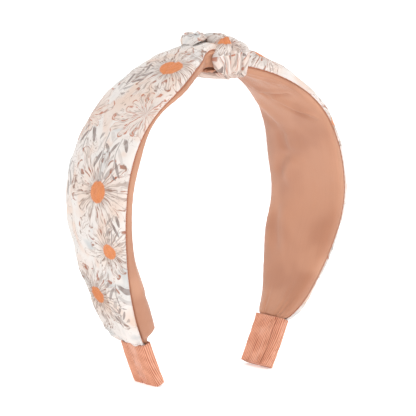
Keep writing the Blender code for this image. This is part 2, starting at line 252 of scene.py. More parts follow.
for name, side in SIDES.items():
    s = np.linspace(FLEX_AT + STRIP_SLOT, HOOP_HALF_LENGTH, 180)[:, None]
    turn = full_turn(32)
    y = CORE_HALF_WIDTH * squared(np.cos(turn), STRIP_ROUNDNESS)
    n = CORE_HALF * squared(np.sin(turn), STRIP_ROUNDNESS)
    strip = add_rod(f"hoop_strip_{name}", band_place(side, s, y, n), hoop_plastic)
    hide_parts(f"core_{name}")


def flex(piece):
    """Bakes the piece's placement into its mesh."""
    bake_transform(piece)


for name in SIDES:
    flex(bpy.data.objects[f"hoop_strip_{name}"])

# ==== Melted glue ==========================================================================
# Beads of clear amber glue, pressed flat, hold the cloth to the strip under the knot and the
# ribbon to both tips. They keep their own shapes.
glue, tree = finish_of("amber_glue", 0.28, Coat_Weight=0.3)
place = object_place(tree)
wire(tree, blend_colour(tree, noise(tree, place, 300, 3), paint(214, 186, 132), paint(236, 214, 168)),
     noise(tree, place, 700, 2), 0.0001, 0.7)
for bead in ("glue_crown", "glue_tip_left", "glue_tip_right"):
    refinish(bead, glue)

# ==== Wadding ==============================================================================
# Each limb is filled out with soft wadding between the printed cloth and the strip, thick along
# the middle and running out above the ribbon, with a channel for the strip underneath.
FABRIC, GAP = 0.0005, 0.0003
BAND_START = 0.0125
KNOT_BAND_WIDTH, WIDEST_BAND, TIP_BAND_WIDTH = 0.022, 0.045, 0.0154
WIDEST_AT = 0.088
FRONT_WIDEST_AT = {"left": 0.042, "right": 0.058}
KNOT_LOFT, BAND_LOFT = 0.0084, 0.0080
GATHER_LENGTH = 0.016
PRINT_ROUNDNESS, SATIN_ROUNDNESS, TIP_ROUNDNESS = 0.80, 0.55, 0.30
KNOT_UNDER, UNDER_LENGTH = 0.0020, 0.028
RIBBON_LENGTH = {"left": 0.0205, "right": 0.0230}
RIBBON_TUCK = 0.004
CREASE_ROOM = 0.0013  # how deep the satin may crease before it meets the wadding


def ease(share, power):
    """0 to 1 along a quarter of a sine wave, raised to a power."""
    return np.sin(np.pi / 2 * np.clip(share, 0, 1)) ** power


def soft_step(share):
    share = np.clip(share, 0, 1)
    return share * share * (3 - 2 * share)


def bell(s, middle, width):
    return np.exp(-((s - middle) / width) ** 2)


def ribbon_top(name):
    return HOOP_HALF_LENGTH - RIBBON_LENGTH[name]


def band_shape(name, s):
    """Half width, outer height, seam height, fullness and satin depth of the band at s: each
    grows or shrinks along a quarter sine wave."""
    top = ribbon_top(name)
    from_knot = (s - FLEX_AT) / (WIDEST_AT - FLEX_AT)
    upper = KNOT_BAND_WIDTH + (WIDEST_BAND - KNOT_BAND_WIDTH) * ease(from_knot, 1.3)
    from_ribbon = (top - s) / (top - WIDEST_AT)
    lower = TIP_BAND_WIDTH + (WIDEST_BAND - TIP_BAND_WIDTH) * ease(from_ribbon, 0.75)
    loft = KNOT_LOFT + (BAND_LOFT - KNOT_LOFT) * ease(from_knot, 1)
    full = ease((top - s) / GATHER_LENGTH, 0.6)
    face = CORE_HALF + GAP + FABRIC
    hang = KNOT_UNDER * (1 - ease((s - FLEX_AT) / UNDER_LENGTH, 1))
    depth = SEAM_HEIGHT * full + face + hang
    return (np.where(s < WIDEST_AT, upper, lower) / 2, face + (loft - face) * full,
            SEAM_HEIGHT * full, full, depth)


def roundness(full_roundness, full):
    return TIP_ROUNDNESS + (full_roundness - TIP_ROUNDNESS) * full


def front_spread(name, s):
    """How many times further out the front edge lies than the back one: it widens sooner, on
    a steeper quarter sine wave, and both are as wide from the widest place down."""
    rise = ease((s - FLEX_AT) / (FRONT_WIDEST_AT[name] - FLEX_AT), 0.9)
    front = (KNOT_BAND_WIDTH + (WIDEST_BAND - KNOT_BAND_WIDTH) * rise) / 2
    return np.where(s < WIDEST_AT, front / band_shape(name, s)[0], 1.0)


def front_shift(name, s):
    """How far the front seam sits back and out of its plain line: bell curves along the limb.
    Low on the left limb the baggy satin pulls the seam round to the outer face, and beside the
    knot the cloth is drawn up on the left and round under the strip on the right."""
    if name == "left":
        baggy = bell(s, 0.124, 0.022)
        out = 0.0016 * baggy + 0.0034 * bell(s, 0.008, 0.0055) - 0.0024 * bell(s, 0.038, 0.018)
        return 0.0018 * baggy, out
    return 0 * s, -0.0034 * bell(s, 0.0125, 0.042)


def arch(name, s, v, half, height, power, upward):
    """Half an oval outline, v from 0 at the front seam to 1 at the back one, on the seam line.
    upward is 1 for the outer face and -1 for the inner one."""
    turn = np.pi * v
    y = -squared(np.cos(turn), power) * half
    h = np.abs(np.sin(turn)) ** power * height
    y = np.where(y < 0, front_spread(name, s) * y, y)
    back, out = front_shift(name, s)
    near_front = np.clip(1 - 2 * v, 0, 1) ** 1.5
    seam = band_shape(name, s)[2]
    return y + back * near_front, seam + upward * h + out * near_front


wadding, tree = finish_of("white_wadding", 0.95, Sheen_Weight=0.4)
place = object_place(tree)
wire(tree, blend_colour(tree, noise(tree, place, 260, 4), paint(226, 222, 214), paint(246, 243, 238)),
     noise(tree, place, 1500, 4, 0.4), 0.0004, 0.8)

for name, side in SIDES.items():
    s = np.linspace(BAND_START, ribbon_top(name) - GATHER_LENGTH / 3, 120)[:, None]
    half, outer, seam, full, depth = band_shape(name, s)
    skin = FABRIC + 2 * GAP
    over = np.linspace(0, 1, 40)[None, :]
    y_over, n_over = arch(name, s, over, half - skin, outer - seam - skin,
                          roundness(PRINT_ROUNDNESS, full), 1)
    under = np.linspace(1, 0, 42)[None, 1:-1]
    y_under, n_under = arch(name, s, under, half - skin, depth - skin - FABRIC - CREASE_ROOM * full,
                            roundness(SATIN_ROUNDNESS, full), -1)
    over_strip = soft_step((CORE_HALF_WIDTH + 0.0012 - np.abs(y_under)) / 0.001)
    n_under = n_under + over_strip * (CORE_HALF + GAP - n_under)
    lumps = 0.00015 * np.sin(s / 0.0021 + 2 * np.sin(y_over / 0.003))
    rings = band_place(side, s, np.concatenate([y_over, y_under], 1),
                       np.concatenate([n_over - 0.0003 + lumps, n_under], 1))
    pad = add_rod(f"wadding_{name}", rings, wadding)
    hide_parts(f"pad_{name}")
    flex(pad)

# ==== Printed chiffon ======================================================================
# The outer cloth is crinkled ivory chiffon, printed with large sketched daisies, grey leaf
# sprays and watercolour washes. It is cut wide, gathered at the knot and under the ribbon.
DAISY_PETALS = 17
# Where the daisies lie on each cloth: along, across and petal length in metres, then whether
# the flower is a rosy one with no centre.
LEFT_DAISIES = [(0.0305, -0.013, 0.024, 0), (0.0865, -0.0075, 0.023, 0), (0.1085, -0.0125, 0.018, 0),
                (0.130, 0.0045, 0.021, 0), (0.058, 0.0165, 0.016, 1), (0.055, -0.0215, 0.017, 1)]
RIGHT_DAISIES = [(0.0205, -0.0065, 0.019, 0), (0.056, 0.009, 0.022, 0), (0.060, -0.021, 0.018, 0),
                 (0.092, 0.000, 0.023, 0), (0.122, -0.010, 0.020, 0), (0.098, 0.022, 0.016, 1)]
# Leaf sprays: along, across, length and turn.
LEFT_SPRAYS = [(0.062, 0.008, 0.024, 8), (0.064, -0.006, 0.022, -6), (0.066, -0.016, 0.020, 4),
               (0.076, 0.016, 0.018, 20), (0.094, -0.018, 0.016, 12), (0.122, -0.013, 0.024, 4),
               (0.046, 0.004, 0.018, -150), (0.140, -0.010, 0.015, 175)]
RIGHT_SPRAYS = [(0.036, -0.010, 0.022, 30), (0.070, -0.014, 0.022, -12), (0.076, 0.014, 0.022, 10),
                (0.106, 0.006, 0.022, 0), (0.134, 0.002, 0.018, -10), (0.034, 0.012, 0.018, 60)]
SQUEEZE = 0.90  # the cloth is pulled wider across the band than along it
SEAM_REST = 0.00014  # half the slot between the two turned edges
CLOTH_THICKNESS = 0.00038
COVER_START = {"left": -0.0040, "right": 0.0090}  # the cloth runs on under the knot's wrap
IVORY, PEACH_WASH, GREY_WASH = paint(228, 221, 216), paint(224, 201, 186), paint(198, 198, 197)
TAUPE, RUST, LEAF = paint(142, 112, 97), paint(160, 92, 60), paint(138, 122, 116)
CENTRE_LIGHT, CENTRE_MID, CENTRE_DARK = paint(226, 146, 92), paint(205, 116, 64), paint(158, 80, 40)


def nearest_place(tree, cloth, places):
    """Cloth places measured from the nearest of several motifs, each turned and in its own
    size: the distances are compared one after another and the closest one's vector is kept."""
    best = chosen = number = extra = None
    for index, (along, across, size, turn, mark) in enumerate(places):
        values = {"Vector": cloth, "Location": (along, across, 0),
                  "Rotation": (0, 0, math.radians(turn)),
                  "Scale": (size * SQUEEZE, size / SQUEEZE, 1)}
        moved = node(tree, "Mapping", values, vector_type="TEXTURE").outputs[0]
        far = node(tree, "VectorMath", {0: moved}, operation="LENGTH").outputs["Value"]
        if best is None:
            best, chosen, number, extra = far, moved, 0.0, float(mark)
            continue
        closer = calc(tree, "LESS_THAN", far, best)
        chosen = node(tree, "Mix", {0: closer, 4: chosen, 5: moved}, data_type="VECTOR").outputs[1]
        number = node(tree, "Mix", {0: closer, 2: number, 3: float(index)}).outputs[0]
        extra = node(tree, "Mix", {0: closer, 2: extra, 3: float(mark)}).outputs[0]
        best = calc(tree, "MINIMUM", far, best)
    return best, chosen, number, extra


def daisies(tree, cloth, ground, places):
    """Long narrow petals round a stippled centre: the turn about the flower is cut into petals,
    each of its own length, with lines between them, fine strokes along them and a few bold ones."""
    far, moved, number, rosy = nearest_place(tree, cloth, [(a, b, c, 40 * a, d) for a, b, c, d in places])
    part = node(tree, "SeparateXYZ", {0: moved})
    turn = calc(tree, "ARCTAN2", part.outputs["Y"], part.outputs["X"])
    sway = times(tree, minus(tree, noise(tree, moved, 2.2, 2), 0.5), 1.6)
    petal = times(tree, turn, DAISY_PETALS / (2 * math.pi))
    petal = plus(tree, petal, sway)
    off_middle = minus(tree, calc(tree, "FRACT", petal), 0.5)
    off_middle = times(tree, calc(tree, "ABSOLUTE", off_middle), 2.0)
    tag = plus(tree, calc(tree, "FLOOR", petal), times(tree, number, 31.0))
    chance = node(tree, "TexWhiteNoise", {"W": tag}, noise_dimensions="1D").outputs["Value"]
    length = span(tree, chance, 0.0, 1.0, 0.62, 1.0)
    rounding = times(tree, calc(tree, "POWER", off_middle, 3.0), 0.35)
    tip = times(tree, length, minus(tree, 1.0, rounding))
    beyond = minus(tree, far, tip)
    inside = span(tree, beyond, -0.02, 0.02, 1.0, 0.0)
    rays = node(tree, "CombineXYZ", {"X": times(tree, petal, 3.2),
                                     "Y": times(tree, far, 1.7), "Z": number}).outputs[0]
    fine = times(tree, span(tree, noise(tree, rays, 1.6, 3), 0.50, 0.60), inside)
    bold_rays = node(tree, "CombineXYZ", {"X": petal, "Y": times(tree, far, 2.4),
                                          "Z": number}).outputs[0]
    bold = times(tree, span(tree, noise(tree, bold_rays, 1.9, 2), 0.60, 0.68), inside)
    between = times(tree, span(tree, off_middle, 0.74, 0.96), inside)
    outline = span(tree, calc(tree, "ABSOLUTE", beyond), 0.028, 0.008)
    broken = span(tree, noise(tree, cloth, 330, 2), 0.40, 0.56)
    ink = blend_colour(tree, span(tree, noise(tree, cloth, 70, 1), 0.44, 0.6), TAUPE, RUST)
    ink = blend_colour(tree, rosy, ink, paint(184, 112, 82))
    fill = blend_colour(tree, rosy, ground, PEACH_WASH)
    wash = span(tree, noise(tree, moved, 1.3, 1), 0.45, 0.65, 0.15, 0.75)
    colour = blend_colour(tree, times(tree, inside, 0.55), ground, fill)
    pale = blend_colour(tree, wash, IVORY, PEACH_WASH)
    colour = blend_colour(tree, times(tree, inside, 0.45), colour, pale)
    colour = blend_colour(tree, times(tree, fine, 0.52), colour, TAUPE)
    colour = blend_colour(tree, times(tree, bold, 0.88), colour, ink)
    lines = times(tree, calc(tree, "MAXIMUM", between, outline), broken)
    colour = blend_colour(tree, times(tree, lines, 0.90), colour, ink)
    shade = times(tree, span(tree, far, 0.40, 0.17), minus(tree, 1.0, rosy))
    rays_in = times(tree, shade, span(tree, noise(tree, rays, 2.6, 2), 0.4, 0.6))
    colour = blend_colour(tree, times(tree, rays_in, 0.7), colour, TAUPE)
    ragged = plus(tree, far, times(tree, noise(tree, rays, 2.4, 2), 0.05))
    grain = node(tree, "TexVoronoi", {"Vector": cloth, "Scale": 1700.0}).outputs["Distance"]
    centre = blend_colour(tree, noise(tree, cloth, 420, 3), CENTRE_MID, CENTRE_LIGHT)
    centre = blend_colour(tree, span(tree, grain, 0.30, 0.12, 0.0, 0.75), centre, CENTRE_DARK)
    shown = times(tree, span(tree, ragged, 0.232, 0.210), minus(tree, 1.0, rosy))
    return blend_colour(tree, shown, colour, centre)


def sprays(tree, cloth, ground, places):
    """Grey leaf sprays: pointed leaflets slant forward from a thin stem, one side after the
    other. A leaflet is an ellipse in the slanted place along the stem and the distance from it."""
    _, moved, number, _ = nearest_place(tree, cloth, [(*place, 0) for place in places])
    part = node(tree, "SeparateXYZ", {0: moved})
    bend = times(tree, minus(tree, noise(tree, moved, 1.4, 1), 0.5), 0.22)
    off = plus(tree, part.outputs["Y"], bend)
    apart = calc(tree, "ABSOLUTE", off)
    slant = minus(tree, part.outputs["X"], times(tree, apart, 1.5))
    step = times(tree, slant, 3.7)
    step = plus(tree, step, times(tree, calc(tree, "SIGN", off), 0.25))
    cell = minus(tree, calc(tree, "FRACT", step), 0.5)
    leaf_y = calc(tree, "DIVIDE", minus(tree, apart, 0.115), 0.095)
    leaf_x = calc(tree, "DIVIDE", cell, 0.25)
    leaf = plus(tree, times(tree, leaf_x, leaf_x), times(tree, leaf_y, leaf_y))
    tag = plus(tree, calc(tree, "FLOOR", step), times(tree, calc(tree, "SIGN", off), 17.0))
    chance = node(tree, "TexWhiteNoise", {"W": plus(tree, tag, number)}, noise_dimensions="1D")
    weight = span(tree, chance.outputs["Value"], 0.05, 0.5, 0.30, 1.0)
    leaf = times(tree, span(tree, leaf, 1.08, 0.80), weight)
    stem = span(tree, apart, 0.016, 0.006)
    held = times(tree, span(tree, part.outputs["X"], -0.02, 0.03),
                span(tree, part.outputs["X"], 1.02, 0.95))
    mark = times(tree, calc(tree, "MAXIMUM", leaf, times(tree, stem, 0.8)), held)
    uneven = span(tree, noise(tree, cloth, 260, 3), 0.3, 0.65, 0.60, 1.0)
    return blend_colour(tree, times(tree, mark, uneven), ground, LEAF)


def printed_chiffon(name, flowers, leaves):
    """The print from the ground up: washes, wandering pen lines along the contours of a cloudy
    field, daisies, leaf sprays, then the crinkle and the weave as relief."""
    made, tree = finish_of(name, 0.70, Sheen_Weight=0.12, Sheen_Roughness=0.4)
    cloth = cloth_place(tree)
    cloud = noise(tree, cloth, 62, 2, 0.6)
    ground = blend_colour(tree, span(tree, cloud, 0.50, 0.68), IVORY, PEACH_WASH)
    ground = blend_colour(tree, span(tree, cloud, 0.46, 0.32), ground, GREY_WASH)
    hills = noise(tree, cloth, 150, 3, 1.4)
    level = calc(tree, "FRACT", times(tree, hills, 7.0))
    level = calc(tree, "ABSOLUTE", minus(tree, level, 0.5))
    pen = times(tree, span(tree, level, 0.10, 0.02), span(tree, noise(tree, cloth, 120, 1), 0.46, 0.6))
    ground = blend_colour(tree, times(tree, pen, 0.70), ground, TAUPE)
    colour = daisies(tree, cloth, ground, flowers)
    colour = sprays(tree, cloth, colour, leaves)
    crinkle = noise(tree, cloth, 1100, 3, 0.8)
    part = node(tree, "SeparateXYZ", {0: cloth})
    warp = calc(tree, "SINE", times(tree, part.outputs["X"], 2 * math.pi / 0.00035))
    weft = calc(tree, "SINE", times(tree, part.outputs["Y"], 2 * math.pi / 0.00035))
    weave = times(tree, times(tree, warp, weft), 0.08)
    wire(tree, colour, plus(tree, crinkle, weave), 0.00028, 0.75)
    return made


def normals(points, ring=False):
    """Unit normals of a grid: the cross product of its two directions' differences."""
    down = np.gradient(points, axis=0)
    if ring:
        side_on = (np.roll(points, -1, 1) - np.roll(points, 1, 1)) / 2
    else:
        side_on = np.gradient(points, axis=1)
    crossed = np.cross(down, side_on)
    return crossed / np.maximum(np.linalg.norm(crossed, axis=-1, keepdims=True), 1e-12)


def lengths(points, axis):
    """Distance walked along one direction of a grid."""
    steps = np.linalg.norm(np.diff(points, axis=axis), axis=-1)
    return np.concatenate([np.zeros_like(np.take(steps, [0], axis)), np.cumsum(steps, axis)], axis)


def add_cloth(name, outer, facing, thickness, cloth, finish, ring=False):
    """A closed mesh of cloth: the grid of its outer face, the same grid set in by the cloth's
    thickness against its facing normals, and the edges between them."""
    rows, columns, _ = outer.shape
    inner = outer - facing * normals(outer, ring) * thickness
    count = rows * columns
    faces = [quads(rows, columns, ring), quads(rows, columns, ring, back=True) + count]
    grid = np.arange(count).reshape(rows, columns)
    borders = [(grid[0], 1), (grid[-1], -1)]
    if not ring:
        borders += [(grid[:, 0], -1), (grid[:, -1], 1)]
    for line, way in borders:
        low = line[::way]
        high = np.roll(low, -1) if ring else low[1:]
        low = low if ring else low[:-1]
        faces.append(np.stack([low, high, high + count, low + count], 1))
    points = np.concatenate([outer.reshape(-1, 3), inner.reshape(-1, 3)])
    places = np.concatenate([cloth.reshape(-1, 2)] * 2)
    return add_mesh(name, points, np.concatenate(faces).tolist(), finish, places)


def ripples(u, v, seed, count, shortest, longest):
    """Crinkles from about -1 to 1: a sum of sine waves with chance directions and lengths."""
    chance = np.random.default_rng(seed)
    total = 0 * (u + v)
    for _ in range(count):
        turn, length = chance.uniform(0, math.pi), chance.uniform(shortest, longest)
        phase = chance.uniform(0, 2 * math.pi)
        total = total + np.sin(2 * np.pi * (u * math.cos(turn) + v * math.sin(turn)) / length + phase)
    return total / math.sqrt(count)


def pleats(share, counts, seed):
    """Pleats across a gathered edge, from about -1 to 1: sine waves of several counts."""
    chance = np.random.default_rng(seed)
    waves = [np.sin(2 * np.pi * count * share + chance.uniform(0, 2 * math.pi)) for count in counts]
    return sum(waves) / math.sqrt(len(counts))


def cover_folds(name, s, across, width, edge):
    """Height of the cover's folds: pleats that fan out from the knot and from the ribbon, soft
    ripples, crinkles, puckers along both seams and, low on the left limb, a lapped fold."""
    share = across / width
    top = ribbon_top(name)
    at_knot, at_tip = np.exp(-(s - BAND_START) / 0.014), np.exp(-(top - s) / 0.010)
    fan = share + 0.03 * np.sin(s / 0.006)
    height = 0.00062 * np.minimum(at_knot, 1) * pleats(fan, (4, 6, 9, 13), 11)
    height = height + 0.00060 * np.minimum(at_tip, 1) * pleats(fan, (3, 5, 8, 12), 12)
    height = height + 0.00024 * ripples(s, across * 0.8, 21, 9, 0.008, 0.026)
    height = height + 0.00010 * ripples(s * 0.7, across, 22, 16, 0.0022, 0.0055)
    height = height + 0.00012 * np.exp(-edge / 0.0022) * np.sin(2 * np.pi * s / 0.0034)
    if name == "left":
        near = soft_step((s - 0.112) / 0.012) * soft_step((top + 0.001 - s) / 0.008)
        line = across + 0.0052 - 0.0012 * np.sin((s - 0.112) / 0.012)
        lap = 0.0013 * soft_step(-line / 0.0009) - 0.0009 * bell(line, 0.0009, 0.001)
        puckers = soft_step(line / 0.002) * np.sin(2 * np.pi * (s + across) / 0.0026)
        height = height + near * (lap + 0.00022 * puckers)
    return height * np.clip(edge / 0.0015, 0.15, 1)


CHIFFON = {"left": printed_chiffon("printed_chiffon_left", LEFT_DAISIES, LEFT_SPRAYS),
           "right": printed_chiffon("printed_chiffon_right", RIGHT_DAISIES, RIGHT_SPRAYS)}


def seam_groove(edge):
    """The turned edges dip into the seam."""
    return -0.00032 * bell(edge, 0, 0.0005)


def cross_cloth(smooth):
    """Where each point of a grid lies across its cloth: from the front seam, from the middle
    and from the nearer seam, with the width of each row."""
    walked = lengths(smooth, 1)
    width = walked[:, -1:]
    middle = walked[:, walked.shape[1] // 2, None]
    return walked, walked - middle, np.minimum(walked, width - walked), width


for name, side in SIDES.items():
    start, end = COVER_START[name], ribbon_top(name) + RIBBON_TUCK
    s = np.linspace(start, end, 290)[:, None]
    v = np.linspace(0, 1, 112)[None, :]
    half, outer, seam, full, _ = band_shape(name, s)
    y, n = arch(name, s, v, half, outer - seam, roundness(PRINT_ROUNDNESS, full), 1)
    n = n + SEAM_REST
    smooth = band_place(side, s, y, n)
    walked, across, edge, width = cross_cloth(smooth)
    tucked = soft_step((ribbon_top(name) + 0.001 - s) / 0.002)
    rise = tucked * cover_folds(name, s, across, width, edge) + seam_groove(edge)
    face = smooth + side * normals(smooth) * rise[..., None]
    cover = add_cloth(f"printed_cover_{name}", face, side, CLOTH_THICKNESS, pairs(s, across),
                      CHIFFON[name])
    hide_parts(f"cover_{name}")
    flex(cover)

# ==== Satin lining =========================================================================
# The inner face is peach satin with a soft gleam, drawn smooth over the strip, with creases
# that run from the knot and a baggy pouch low on the left limb.
LINING_START = {"left": 0.0030, "right": 0.0090}
STRIP_ROOM = 0.0004  # how deep it may crease where only the strip lies under it
# Creases of each lining: from and to, as along and across, then depth and width.
CREASES = {"right": [(0.014, -0.008, 0.031, -0.0145, 0.0011, 0.0010),
                     (0.036, 0.004, 0.0575, -0.0205, 0.0016, 0.0012),
                     (0.036, 0.003, 0.0385, -0.0165, 0.0013, 0.0011),
                     (0.048, 0.016, 0.062, 0.0045, 0.0014, 0.0024),
                     (0.062, 0.0045, 0.074, 0.004, 0.0012, 0.0026),
                     (0.074, 0.004, 0.086, 0.012, 0.0011, 0.0026),
                     (0.018, 0.002, 0.034, 0.006, 0.0011, 0.0013),
                     (0.100, 0.013, 0.124, 0.006, 0.0010, 0.0030)],
           "left": [(0.014, -0.006, 0.034, -0.012, 0.0010, 0.0011),
                    (0.016, 0.004, 0.044, 0.014, 0.0012, 0.0013),
                    (0.030, 0.000, 0.052, -0.006, 0.0010, 0.0016),
                    (0.070, 0.010, 0.092, 0.004, 0.0009, 0.0026)]}
PEACH_LIGHT, PEACH_MID = paint(197, 144, 115), paint(181, 127, 99)
PEACH_DEEP = paint(158, 102, 75)

satin, tree = finish_of("peach_satin", 0.46, Sheen_Weight=0.10, Sheen_Roughness=0.35, Anisotropic=0.35)
cloth = cloth_place(tree)
cloud = noise(tree, cloth, 34, 2, 0.3)
part = node(tree, "SeparateXYZ", {0: cloth})
long_way = node(tree, "CombineXYZ", {"X": times(tree, part.outputs["X"], 40),
                                     "Y": times(tree, part.outputs["Y"], 2200)}).outputs[0]
threads = noise(tree, long_way, 1.0, 2)
tone = blend_colour(tree, span(tree, cloud, 0.36, 0.64), PEACH_MID, PEACH_LIGHT)
tone = blend_colour(tree, span(tree, threads, 0.45, 0.75, 0.0, 0.10), tone, PEACH_DEEP)
warp = calc(tree, "SINE", times(tree, part.outputs["Y"], 2 * math.pi / 0.00022))
twill = plus(tree, times(tree, warp, 0.25), noise(tree, cloth, 420, 2, 0.5))
wire(tree, tone, twill, 0.00010, 0.5, span(tree, cloud, 0.3, 0.7, 0.36, 0.46))


def creases(s, across, lines):
    """Sharp valleys, each with a soft ridge beside it, along straight lines that fade out."""
    height = 0 * (s + across)
    for s0, a0, s1, a1, depth, width in lines:
        length = math.hypot(s1 - s0, a1 - a0)
        along = ((s - s0) * (s1 - s0) + (across - a0) * (a1 - a0)) / length
        off = ((s - s0) * (a1 - a0) - (across - a0) * (s1 - s0)) / length
        off = off + 0.0012 * np.sin(np.pi * along / length)
        fade = soft_step(along / (0.3 * length) + 0.3) * soft_step((length - along) / (0.4 * length) + 0.2)
        height = height + depth * fade * (0.8 * bell(off, 2.1 * width, 1.5 * width) - bell(off, 0, width))
    return height


def lining_folds(name, s, across, width, edge):
    """Height of the satin's folds: gathers at both ends, slow waves, seam puckers, creases."""
    share = across / width
    top = ribbon_top(name)
    at_knot, at_tip = np.exp(-(s - BAND_START) / 0.010), np.exp(-(top - s) / 0.006)
    height = 0.00035 * at_knot * pleats(share, (3, 5, 8), 31)
    height = height + 0.00045 * np.minimum(at_tip, 1) * pleats(share, (5, 8, 11), 32)
    height = height + 0.00050 * ripples(s, across, 41, 7, 0.018, 0.045)
    height = height + 0.00010 * np.exp(-edge / 0.003) * np.sin(2 * np.pi * s / 0.0046)
    return height + creases(s, across, CREASES[name])


for name, side in SIDES.items():
    start, end = LINING_START[name], ribbon_top(name) + RIBBON_TUCK
    s = np.linspace(start, end, 260)[:, None]
    v = np.linspace(0, 1, 100)[None, :]
    half, _, seam, full, depth = band_shape(name, s)
    if name == "left":
        depth = depth - 0.0016 * bell(s, 0.009, 0.009)
    y, n = arch(name, s, v, half, depth, roundness(SATIN_ROUNDNESS, full), -1)
    n = n - SEAM_REST
    smooth = band_place(side, s, y, n)
    walked, across, edge, width = cross_cloth(smooth)
    tucked = soft_step((ribbon_top(name) + 0.001 - s) / 0.002)
    rise = tucked * lining_folds(name, s, across, width, edge) * np.clip(edge / 0.002, 0, 1)
    if name == "left":
        low = soft_step((s - 0.100) / 0.030) * soft_step((ribbon_top(name) + 0.0005 - s) / 0.007)
        rise = rise + 0.0042 * low * bell(across, -0.010, 0.0075) * np.clip(edge / 0.004, 0, 1)
        crease_line = across + 0.0125 - 0.004 * np.sin((s - 0.134) / 0.007)
        low_down = soft_step((s - 0.130) / 0.006) * soft_step((ribbon_top(name) + 0.002 - s) / 0.003)
        rise = rise - 0.0013 * low_down * bell(crease_line, 0, 0.0012)
    over_strip = soft_step((CORE_HALF_WIDTH + 0.0024 - np.abs(y)) / 0.0018)
    room = CREASE_ROOM + (STRIP_ROOM - CREASE_ROOM) * over_strip
    rise = np.where(rise < 0, -room * np.tanh(-rise / room), rise) + seam_groove(edge)
    face = smooth - side * normals(smooth) * rise[..., None]
    lining = add_cloth(f"satin_lining_{name}", face, -side, CLOTH_THICKNESS, pairs(s, across), satin)
    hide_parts(f"lining_{name}")
    flex(lining)

# ==== Seam threads =========================================================================
# The cover and the lining are sewn together down both edges of each limb with rust thread,
# whose stitches show as a thin dark line in the groove between them. The thread's dark rust
# is partly its own colour and partly painted shadow of the seam.
STITCH = 0.0022
THREAD_RADIUS = 0.00022
THREAD_INSET = 0.00042  # from the cloths' edges to the middle of the thread

thread, tree = finish_of("rust_thread", 0.7)
cloth = cloth_place(tree)
part = node(tree, "SeparateXYZ", {0: cloth})
# Painted shade and light: one wave gives the twist's bump and its colour, dark in the grooves between the
# plies and light on their crests.
ply_relief_and_shade = calc(tree, "SINE", plus(tree, times(tree, part.outputs["X"], 1400.0),
                              times(tree, part.outputs["Y"], 2 * math.pi)))
wire(tree, blend_colour(tree, span(tree, ply_relief_and_shade, -1, 1), paint(158, 92, 62), paint(198, 130, 98)),
     ply_relief_and_shade, 0.00005, 0.8)

for name, side in SIDES.items():
    for edge_name, way in (("front", -1), ("back", 1)):
        s = np.linspace(LINING_START[name], ribbon_top(name) - 0.0003, 430)[:, None]
        half, _, seam, _, _ = band_shape(name, s)
        back, out = front_shift(name, s)
        back, out = (back, out) if way < 0 else (0 * back, 0 * out)
        turn = full_turn(8)
        stitch = np.abs(np.sin(np.pi * s / STITCH)) ** 0.5
        radius = THREAD_RADIUS * (0.72 + 0.28 * stitch)
        spread = front_spread(name, s) if way < 0 else 1.0
        y = way * (spread * half - THREAD_INSET + 0.00014 * stitch) + back + radius * np.cos(turn)
        n = seam + out + radius * np.sin(turn)
        seam_line = add_rod(f"seam_thread_{edge_name}_{name}", band_place(side, s, y, n), thread)
        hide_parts(f"seam_{edge_name}_{name}")
        flex(seam_line)

# ==== Ribbon tips ==========================================================================
# Salmon grosgrain ribbon, folded over each end of the strip and then wound once round the tip,
# so that its ribs run down the limb, with the lap on the inner face near the front edge.
RIBBON_WALL = 0.0005
RIBBON_ROUNDNESS = 0.35
WOUND_THICKNESS, FOLD_THICKNESS = 0.00042, 0.00040
RIB_PITCH = 0.00100
RIB_HEIGHT = 0.00019
FOLD_HALF = CORE_HALF + GAP + RIBBON_WALL
RIBBON_HALF_THICKNESS = FOLD_HALF + GAP + RIBBON_WALL
RIBBON_HALF_WIDTH = TIP_BAND_WIDTH / 2 + GAP + RIBBON_WALL
LAP_START, LAP_TURN = math.radians(-132), 2 * math.pi + math.radians(50)
END_FOLD = 0.006


def away_from_middle(points, out):
    """1 if the normals of rings of points lead away from each ring's middle, -1 if into it."""
    return np.sign((out * (points - points.mean(1, keepdims=True))).sum(-1).mean())


ribbon_finish, tree = finish_of("salmon_grosgrain", 0.55, Sheen_Weight=0.3)
cloth = cloth_place(tree)
part = node(tree, "SeparateXYZ", {0: cloth})
# Painted shade and light: the colour runs dark in each rib's groove and light on its crest, in step with
# the ribs' relief.
painted_rib_shade = calc(tree, "SINE", times(tree, part.outputs["X"], 2 * math.pi / RIB_PITCH))
fine = calc(tree, "SINE", times(tree, part.outputs["Y"], 2 * math.pi / 0.00030))
tone = blend_colour(tree, span(tree, painted_rib_shade, -0.9, 0.8), paint(172, 90, 60), paint(230, 166, 132))
faded = span(tree, noise(tree, cloth, 190, 2), 0.35, 0.7, 0.0, 0.35)
tone = blend_colour(tree, faded, tone, paint(246, 186, 156))
wire(tree, tone, plus(tree, times(tree, fine, 0.3), noise(tree, cloth, 2400, 2)), 0.00006, 0.6)

